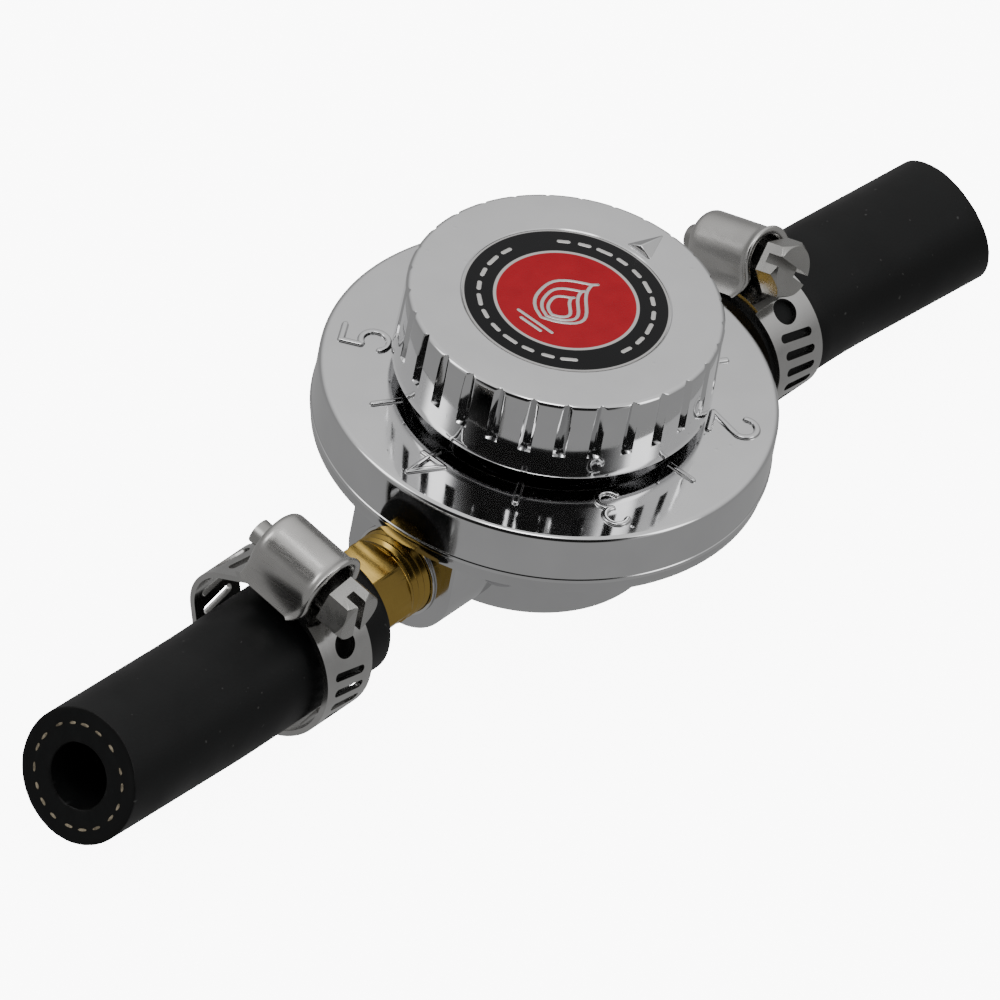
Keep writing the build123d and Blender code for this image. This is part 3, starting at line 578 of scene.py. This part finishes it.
# where the red, the silver line and the black rim end
RED_R = 8.35
SILVER_R = 8.72
BLACK_R = 12.15
DASH_COUNT = 26
DASH_R = 10.4
FLAME_STEPS = 16


def label_print():
    """Printed label: black rim, thin silver line, red middle; the rings are measured from the axis."""
    s = Shader("label_print")
    flat = s.scaled(1.0, 1.0, 0.0)
    length = s.node("ShaderNodeVectorMath", operation="LENGTH")
    s.link(flat, length.inputs[0])
    r = length.outputs["Value"]
    blur = 0.04 * MM
    red = s.mix(s.ramp(s.noise(400, 2.0), 0.3, 0.7), (0.42, 0.0, 0.010), (0.48, 0.001, 0.012))
    tone = red
    rings = ((RED_R, (0.62, 0.60, 0.58)), (SILVER_R, (0.006, 0.006, 0.007)), (BLACK_R, (0.55, 0.54, 0.53)))
    for radius, beyond in rings:
        edge = radius * MM
        tone = s.mix(s.ramp(r, edge - blur, edge + blur), tone, beyond)
    s.colour(tone)
    s.roughness(s.ramp(s.noise(700, 3.0), 0.3, 0.7, 0.22, 0.32))
    s.set(Specular_IOR_Level=0.18)
    s.bumps((s.noise(900, 2.0), 0.002), (s.ramp(r, RED_R * MM - blur, RED_R * MM + blur), 0.02))
    return s.material


def label():
    """Label disc with a soft edge, short dashes on its black rim and a flame of plain lines on the red."""
    rings = rounded([
        (LABEL_R, LABEL_Z - 0.2), (LABEL_R, LABEL_Z, 0.06), (SILVER_R, LABEL_Z), (8.55, LABEL_Z + 0.03),
        (RED_R, LABEL_Z), (4.0, LABEL_Z + 0.01), (0.02, LABEL_Z + 0.01),
    ], 4)
    disc = lathe("label_disc", rings, label_print(), "knob", 160, 60)
    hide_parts("knob_label")
    verts, faces = [], []
    low = Matrix.Translation((0, 0, LABEL_Z)) @ Matrix.Diagonal((1, 1, 0.12, 1))
    turn = Matrix.Rotation(radians(-90), 4, "Z")
    middle = low @ turn @ Matrix.Translation((0, 0, 0.2))
    half_way = DASH_COUNT // 2
    for index in range(DASH_COUNT):
        if index % half_way in (0, half_way - 1):
            continue
        angle = radians(-20 + 360 * index / DASH_COUNT)
        place = low @ turn @ Matrix.Rotation(angle, 4, "Z") @ Matrix.Translation((DASH_R, 0, 0))
        reach = 0.55 if index % 3 else 0.8
        bead([(0, -reach), (0, reach)], verts, faces, place, 0.6)
    for scale, lean in ((1.0, 0.0), (0.72, 0.3), (0.45, 0.5)):
        left, right = [], []
        for step in range(FLAME_STEPS + 1):
            t = step / FLAME_STEPS
            wide = 3.4 * scale * sin(pi * min(1.0, t * 1.06) ** 0.75)
            rise = (-4.6 + 9.6 * t) * scale - (1 - scale) * 2.2
            bend = 1.1 * scale * sin(2.2 * pi * t) * t + lean * (1 - t)
            left.append((bend - wide, rise))
            right.append((bend + wide, rise))
        for path in (left, right):
            bead(path, verts, faces, middle, 0.42)
    for rise, reach in ((-5.7, 2.6), (-6.5, 1.5)):
        bead([(-reach, rise), (reach, rise)], verts, faces, middle, 0.42)
    lines = mesh_piece("label_lines", verts, faces, PRINT_SILVER, "knob", 60)


PRINT_SILVER = plain_metal("print_silver", (0.66, 0.65, 0.63), 0.30, 0.42, None, 0.001, 900.0, 0.6)
label()


# ---- hose tails ----------------------------------------------------------------------------------

HOSE_COLUMNS = 144
STATION_STEP = 0.7
# length over which the slant of the cut end fades out
CUT_REACH = 4.0
CUT_SEEDS = {"inlet": 3.1, "outlet": 8.7}
ACROSS = Vector((0, 1, 0))
YARN_COUNT = 18
YARN_R = 6.35


def hose(name):
    """Rubber tail along its own path, with rounded rims, an uneven slanted cut, and the bore."""
    tail, clamp = TAILS[name], CLAMPS[name]
    side = tail["side"]
    place = port_frame(side) @ Matrix.Rotation(radians(tail["towards"] * -side), 4, "Z")
    turn = radians(tail["bend"])
    bend_r = tail["bend_l"] / turn
    start = tail["bend_x"]
    tip = Vector((bend_r * (1 - cos(turn)), 0, start + bend_r * sin(turn)))
    way = Vector((sin(turn), 0, cos(turn)))
    tip = tip + way * tail["end_l"]
    up = place.to_3x3().inverted() @ Vector((0, 0, 1))
    up = (up - way * up.dot(way)).normalized()
    slope = tan(radians(tail["lean"]))

    def spine(s):
        """Centre and direction of the hose at a distance along it from the casing's axis."""
        if s <= start:
            return Vector((0, 0, s)), Vector((0, 0, 1))
        if s <= start + tail["bend_l"]:
            part = (s - start) / bend_r
            spot = Vector((bend_r * (1 - cos(part)), 0, start + bend_r * sin(part)))
            return spot, Vector((sin(part), 0, cos(part)))
        return tip + way * (s - start - tail["bend_l"] - tail["end_l"]), way

    end = start + tail["bend_l"] + tail["end_l"]
    squeeze = min(HOSE_R, clamp["inner_r"] - 0.02)

    def skin(s):
        """Radius of the outside, drawn in under a tight band."""
        gap = max(0.0, abs(s - abs(clamp["x"])) - BAND_W / 2 - 0.1) / 1.5
        return squeeze + (HOSE_R - squeeze) * min(1.0, gap) ** 2

    cut_from = end - CUT_REACH
    rows = []
    for radius, s in ((HOSE_BORE_R + 0.62, HOSE_START_X), (6.0, HOSE_START_X), (HOSE_R - 0.18, HOSE_START_X)):
        rows.append((radius, s, 0.0))
    rows.append((HOSE_R - 0.05, HOSE_START_X + 0.04, 0.0))
    for index in range(int((cut_from - HOSE_START_X) / STATION_STEP)):
        s = HOSE_START_X + 0.12 + index * STATION_STEP
        rows.append((skin(s), s, 0.0))
    for part in (0.35, 0.7, 0.9):
        rows.append((HOSE_R, cut_from + CUT_REACH * part, part))
    for inset, back in ((0.0, 0.12), (0.035, 0.04), (0.12, 0.0)):
        rows.append((HOSE_R - inset, end - back, 1.0))
    for radius in (7.6, 7.1, 6.6, YARN_R, 6.1, 5.6, 5.0, 4.5, HOSE_BORE_R + 0.12):
        rows.append((radius, end, 1.0))
    rows.append((HOSE_BORE_R, end - 0.12, 1.0))
    for depth in (1.0, 3.0, 6.0, 10.0, 16.0):
        rows.append((HOSE_BORE_R, end - depth, max(0.0, 1 - depth / 8.0)))
    rows.append((HOSE_BORE_R, start - 4.0, 0.0))
    rows.append((2.0, start - 4.0, 0.0))
    verts = []
    seed = CUT_SEEDS[name]
    for radius, s, cut in rows:
        spot, along = spine(s)
        inward = along.cross(ACROSS)
        for column in range(HOSE_COLUMNS):
            angle = 2 * pi * column / HOSE_COLUMNS
            lift = 0.0
            if cut == 1.0:
                wobble = noise.noise(Vector((cos(angle) * 2.2, sin(angle) * 2.2, radius * 0.9 + seed)))
                fine = noise.noise(Vector((cos(angle) * 9, sin(angle) * 9, radius * 2.1 + seed)))
                lift = 0.10 * wobble + 0.05 * fine
            offset = (ACROSS * cos(angle) + inward * sin(angle)) * radius
            slant = -offset.dot(up) * slope * cut
            verts.append(place @ (spot + offset + along * (slant + lift)))
    tube = mesh_piece(name + "_hose_skin", verts, grid_faces(len(rows), HOSE_COLUMNS), RUBBER, "casing", 40)
    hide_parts(name + "_hose")

    yarn, patches = [], []
    spot, along = spine(end)
    inward = along.cross(ACROSS)
    outline = []
    for step in range(9):
        t = -1 + step / 4
        outline.append((t, 0.16 * sqrt(max(0.0, 1 - t * t)) + 0.02))
    for index in range(YARN_COUNT):
        uneven = 0.16 * noise.noise(Vector((index * 1.7, seed, 0.3)))
        middle_turn = 2 * pi * index / YARN_COUNT + uneven
        reach = 0.085 + 0.045 * noise.noise(Vector((index * 2.3, seed, 4.1)))
        base_r = YARN_R + 0.12 * noise.noise(Vector((index * 3.1, seed, 7.7)))
        first = len(yarn)
        for sign, height in ((1, 0.0), (1, 0.09), (-1, 0.09), (-1, 0.0)):
            for t, half in outline:
                angle = middle_turn + t * reach
                ray = ACROSS * cos(angle) + inward * sin(angle)
                offset = ray * (base_r + sign * half * (1.0 if height == 0.0 else 0.7))
                slant = -offset.dot(up) * slope
                yarn.append(place @ (spot + offset + along * (slant + height)))
        patches.extend(grid_faces(4, len(outline), False, first))
    ends = mesh_piece(name + "_hose_yarn", yarn, patches, YARN, "casing", 60)


def yarn_material():
    """Dull beige fibre ends, darkened here and there by rubber."""
    s = Shader("yarn")
    s.set(Roughness=0.85, Specular_IOR_Level=0.2)
    s.colour(s.mix(s.ramp(s.noise(1500, 3.0), 0.35, 0.65), (0.12, 0.10, 0.07), (0.42, 0.36, 0.26)))
    s.bumps((s.noise(4000, 2.0), 0.02))
    return s.material


YARN = yarn_material()
for end_name in TAILS:
    hose(end_name)


# ---- clamp housings ------------------------------------------------------------------------------

HOUSING_WALL = 0.75
TAIL_CORNER = 1.25
TAIL_CORNER_STEPS = 7
FLANK_STEPS = 12
ARCH_STEPS = 24
# how far the skirts' front corners are drawn back, and where along the worm that starts
SKIRT_SETBACK = 1.5
SKIRT_SETBACK_FROM = 1.5


def clamp_frame(name):
    """Frame of a clamp: local X along the worm towards its head, local Y out through the housing."""
    clamp = CLAMPS[name]
    roll = radians(clamp["roll"])
    x = Vector((0, -cos(roll), sin(roll)))
    z = Vector((-1, 0, 0))
    y = z.cross(x)
    origin = Vector((clamp["x"], clamp["offset"][0], PORT_Z + clamp["offset"][1]))
    return Matrix.Translation(origin) @ Matrix((x, y, z)).transposed().to_4x4()


def worm_height(name):
    """Height of the worm's axis above the clamp's axis."""
    return CLAMPS[name]["inner_r"] + 2 * BAND_T + WORM_R + 0.15


def housing_frame(name):
    """Frame of the housing and its screw, a little tilted and aside on the band."""
    clamp = CLAMPS[name]
    lift = Matrix.Translation((0, worm_height(name), clamp["aside"]))
    tilt = Matrix.Rotation(radians(clamp["tilt"]), 4, "Z")
    return clamp_frame(name) @ lift @ tilt @ Matrix.Translation((0, -worm_height(name), 0))


def housing(name):
    """Pressed saddle: bell-shaped skirts, rounded tail end, open rolled rim at the screw's head."""
    clamp = CLAMPS[name]
    inner, arch = clamp["inner_r"], clamp["arch_r"]
    worm = worm_height(name)
    centre = worm + 0.5
    half = HOUSING_W / 2
    seat = inner + BAND_T + 0.1

    def section(u, inset):
        """Outline across the worm at a place along it, from one skirt's foot over the arch to the other."""
        foot = seat - 0.25 * (u / HOUSING_L) ** 2
        out = []
        for step in range(FLANK_STEPS):
            t = step / FLANK_STEPS
            flare = (1 - t) ** 2.6
            wide = arch + (half - arch) * flare - inset * (1.0 - 0.35 * flare)
            out.append((wide, foot + (centre - foot) * t))
        for step in range(ARCH_STEPS + 1):
            angle = pi * step / ARCH_STEPS
            out.append(((arch - inset) * cos(angle), centre + (arch - inset) * sin(angle)))
        for wide, height in out[FLANK_STEPS - 1::-1]:
            out.append((-wide, height))
        return out

    tail = -HOUSING_L / 2
    front = HOUSING_L / 2
    rows = [(tail, arch - 1.0), (tail, arch * 0.55)]
    for step in range(TAIL_CORNER_STEPS, -1, -1):
        angle = pi / 2 * step / TAIL_CORNER_STEPS
        rows.append((tail + TAIL_CORNER * (1 - sin(angle)), TAIL_CORNER * (1 - cos(angle))))
    for u in (-3.2, -2.6, -1.8, -0.9, 0.0, 0.9, 1.8, 2.6, 3.2, 3.6):
        rows.append((u, 0.0))
    rows += [(3.9, -0.03), (4.15, -0.14), (4.4, -0.31), (4.65, -0.42), (4.85, -0.4), (4.97, -0.24)]
    rows += [(front, 0.0), (4.97, 0.3), (4.85, 0.55)]
    for u in (4.6, 4.2, 1.5, -2.0, -3.8):
        rows.append((u, HOUSING_WALL))
    verts = []
    place = housing_frame(name)
    count = len(section(0, 0))
    for u, inset in rows:
        forward = max(0.0, (u - SKIRT_SETBACK_FROM) / (front - SKIRT_SETBACK_FROM))
        for wide, height in section(u, inset):
            low = max(0.0, 1 - (height - seat) / (centre - seat))
            verts.append(place @ Vector((u - SKIRT_SETBACK * low ** 3 * forward, height, wide)))
    faces = grid_faces(len(rows), count, False)
    shell = mesh_piece(name + "_housing_shell", verts, faces, HOUSING_STEEL, "casing", 50)
    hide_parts(name + "_clamp_housing")


for end_name in CLAMPS:
    housing(end_name)


# ---- soft edges on the machined and cast pieces --------------------------------------------------

# width of each bevel, in millimetres
SOFT_EDGES = {"lower_body": 0.1}
for end_name in TAILS:
    SOFT_EDGES[end_name + "_fitting"] = 0.08
    SOFT_EDGES[end_name + "_washer"] = 0.1
    SOFT_EDGES[end_name + "_clamp_screw"] = 0.16
for node_name, width in SOFT_EDGES.items():
    piece = nodes[node_name]
    weld = piece.modifiers.new("weld", "WELD")
    weld.merge_threshold = 0.001 * MM
    bevel = piece.modifiers.new("soft_edges", "BEVEL")
    bevel.width = width * MM
    bevel.segments = 2
    bevel.limit_method = "ANGLE"
    bevel.angle_limit = radians(32)
    bevel.harden_normals = False


# ---- camera, floor and light ---------------------------------------------------------------------

# directions from the object back to the camera and across the picture, and the roll about the line of sight
CAMERA_BACK = (-0.629, -0.410, 0.660)
CAMERA_RIGHT = (0.546, -0.838, 0)
CAMERA_ROLL = 11.4
# how far the middle of the dial's top lies right of and above the middle of the picture
DIAL_RIGHT = 6.12
DIAL_ABOVE = 13.92
CAMERA_DISTANCE = 3000.0
VIEW_WIDTH = 117.8
SENSOR = 36.0
FLOOR_DROP = 0.05
SHEET_HALF = 6000.0
CARD_DISTANCE = 900.0
CARD_AIM_Z = 15.0


def aim():
    """Camera at the photograph's angle: long lens, looking down from the inlet's side, rolled a little."""
    back = Vector(CAMERA_BACK).normalized()
    right = Vector(CAMERA_RIGHT).normalized()
    up = back.cross(right)
    roll = radians(CAMERA_ROLL)
    across = right * cos(roll) + up * sin(roll)
    upward = up * cos(roll) - right * sin(roll)
    target = Vector((0, 0, FLANGE_TOP_Z)) - across * DIAL_RIGHT - upward * DIAL_ABOVE
    data = bpy.data.cameras.new("camera")
    data.sensor_width = SENSOR
    data.lens = SENSOR * CAMERA_DISTANCE / VIEW_WIDTH
    data.clip_end = 20.0
    camera = bpy.data.objects.new("camera", data)
    bpy.context.scene.collection.objects.link(camera)
    turn = Matrix((across, upward, back)).transposed().to_4x4()
    camera.matrix_world = Matrix.Translation((target + back * CAMERA_DISTANCE) * MM) @ turn
    bpy.context.scene.camera = camera


def glow_material(name, colour, strength):
    """Plain emitter for a light card."""
    material = bpy.data.materials.new(name)
    material.use_nodes = True
    tree = material.node_tree
    tree.nodes.clear()
    glow = tree.nodes.new("ShaderNodeEmission")
    glow.inputs["Color"].default_value = (*colour, 1)
    glow.inputs["Strength"].default_value = strength
    out = tree.nodes.new("ShaderNodeOutputMaterial")
    tree.links.new(glow.outputs[0], out.inputs[0])
    return material


def soft_material(name, level, fade_l):
    """Emitter that fades out towards the edges of a card, over a part of its width and height."""
    material = glow_material(name, (1, 1, 1), level)
    tree = material.node_tree
    where = tree.nodes.new("ShaderNodeUVMap")
    parts = tree.nodes.new("ShaderNodeSeparateXYZ")
    tree.links.new(where.outputs["UV"], parts.inputs[0])
    fades = []
    for axis in ("X", "Y"):
        away = tree.nodes.new("ShaderNodeMath")
        away.operation = "PINGPONG"
        away.inputs[1].default_value = 0.5
        tree.links.new(parts.outputs[axis], away.inputs[0])
        fade = tree.nodes.new("ShaderNodeMapRange")
        fade.interpolation_type = "SMOOTHERSTEP"
        fade.inputs["From Max"].default_value = fade_l
        tree.links.new(away.outputs[0], fade.inputs["Value"])
        fades.append(fade.outputs["Result"])
    both = tree.nodes.new("ShaderNodeMath")
    both.operation = "MULTIPLY"
    tree.links.new(fades[0], both.inputs[0])
    tree.links.new(fades[1], both.inputs[1])
    clear = tree.nodes.new("ShaderNodeBsdfTransparent")
    mix = tree.nodes.new("ShaderNodeMixShader")
    tree.links.new(both.outputs[0], mix.inputs[0])
    tree.links.new(clear.outputs[0], mix.inputs[1])
    glow = next(node for node in tree.nodes if node.type == "EMISSION")
    out = next(node for node in tree.nodes if node.type == "OUTPUT_MATERIAL")
    tree.links.new(glow.outputs[0], mix.inputs[2])
    tree.links.new(mix.outputs[0], out.inputs[0])
    return material


def card(name, azimuth, elevation, width, height, level, fade_l=0.36):
    """Flat soft-edged card facing the object, seen only in reflections. Azimuth is from +X towards +Y."""
    a, e = radians(azimuth), radians(elevation)
    way = Vector((cos(a) * cos(e), sin(a) * cos(e), sin(e)))
    side = Vector((-sin(a), cos(a), 0))
    rise = way.cross(side)
    spot = way * CARD_DISTANCE + Vector((0, 0, CARD_AIM_Z))
    verts = []
    corners = ((-1, -1), (1, -1), (1, 1), (-1, 1))
    for x, y in corners:
        verts.append((spot + side * (x * width / 2) + rise * (y * height / 2)) * MM)
    mesh = bpy.data.meshes.new(name)
    mesh.from_pydata(verts, [], [(0, 1, 2, 3)])
    spread = mesh.uv_layers.new(name="UVMap")
    for loop, (x, y) in zip(spread.data, corners):
        loop.uv = ((x + 1) / 2, (y + 1) / 2)
    mesh.materials.append(soft_material(name, level, fade_l))
    obj = bpy.data.objects.new(name, mesh)
    bpy.context.scene.collection.objects.link(obj)
    obj.visible_camera = False
    obj.visible_diffuse = False
    obj.visible_shadow = False
    obj.visible_transmission = False


def floor_material(name, colour, strength):
    """Pale sheet that glows, so that it stays bright and even."""
    s = Shader(name)
    s.set(Roughness=0.7, Specular_IOR_Level=0.1, Emission_Strength=strength, Emission_Color=(1.0, 1.0, 1.0))
    s.colour(s.mix(s.ramp(s.noise(2.0, 2.0), 0.3, 0.7), tuple(c * 0.995 for c in colour), colour))
    return s.material


def sheet(name, low, material):
    """Wide level sheet."""
    half = SHEET_HALF
    corners = [(-half, -half, low), (half, -half, low), (half, half, low), (-half, half, low)]
    piece = mesh_piece(name, corners, [(0, 1, 2, 3)], material, None)
    return piece


def studio():
    """Pale floor, a dimmer sheet that stands in for it in reflections, a sky brighter above, and cards."""
    low = cad_bounds[0][2] / MM - FLOOR_DROP
    ground = sheet("floor", low, floor_material("floor", (0.9, 0.9, 0.9), 9.0))
    ground.visible_glossy = False
    ground.visible_diffuse = False
    bounce = sheet("floor_in_reflections", low - 0.5, glow_material("bounce", (1, 1, 1), 0.36))
    bounce.visible_camera = False
    bounce.visible_shadow = False
    world = bpy.data.worlds.new("sky")
    bpy.context.scene.world = world
    world.use_nodes = True
    tree = world.node_tree
    way = tree.nodes.new("ShaderNodeTexCoord")
    parts = tree.nodes.new("ShaderNodeSeparateXYZ")
    rise = tree.nodes.new("ShaderNodeMapRange")
    rise.interpolation_type = "SMOOTHSTEP"
    for socket, value in (("From Min", -0.1), ("From Max", 0.95), ("To Min", 0.30), ("To Max", 1.05)):
        rise.inputs[socket].default_value = value
    tree.links.new(way.outputs["Generated"], parts.inputs[0])
    tree.links.new(parts.outputs["Z"], rise.inputs["Value"])
    tree.links.new(rise.outputs["Result"], tree.nodes["Background"].inputs["Strength"])
    tree.nodes["Background"].inputs["Color"].default_value = (1, 1, 1, 1)
    card("dark_behind_camera", 213, 40, 2500, 1250, 0.012, 0.28)
    card("soft_left", 136, 42, 420, 700, 3.6)
    card("soft_right", 288, 38, 420, 700, 3.4)
    card("soft_top", 213, 80, 420, 300, 9.0)


aim()
studio()
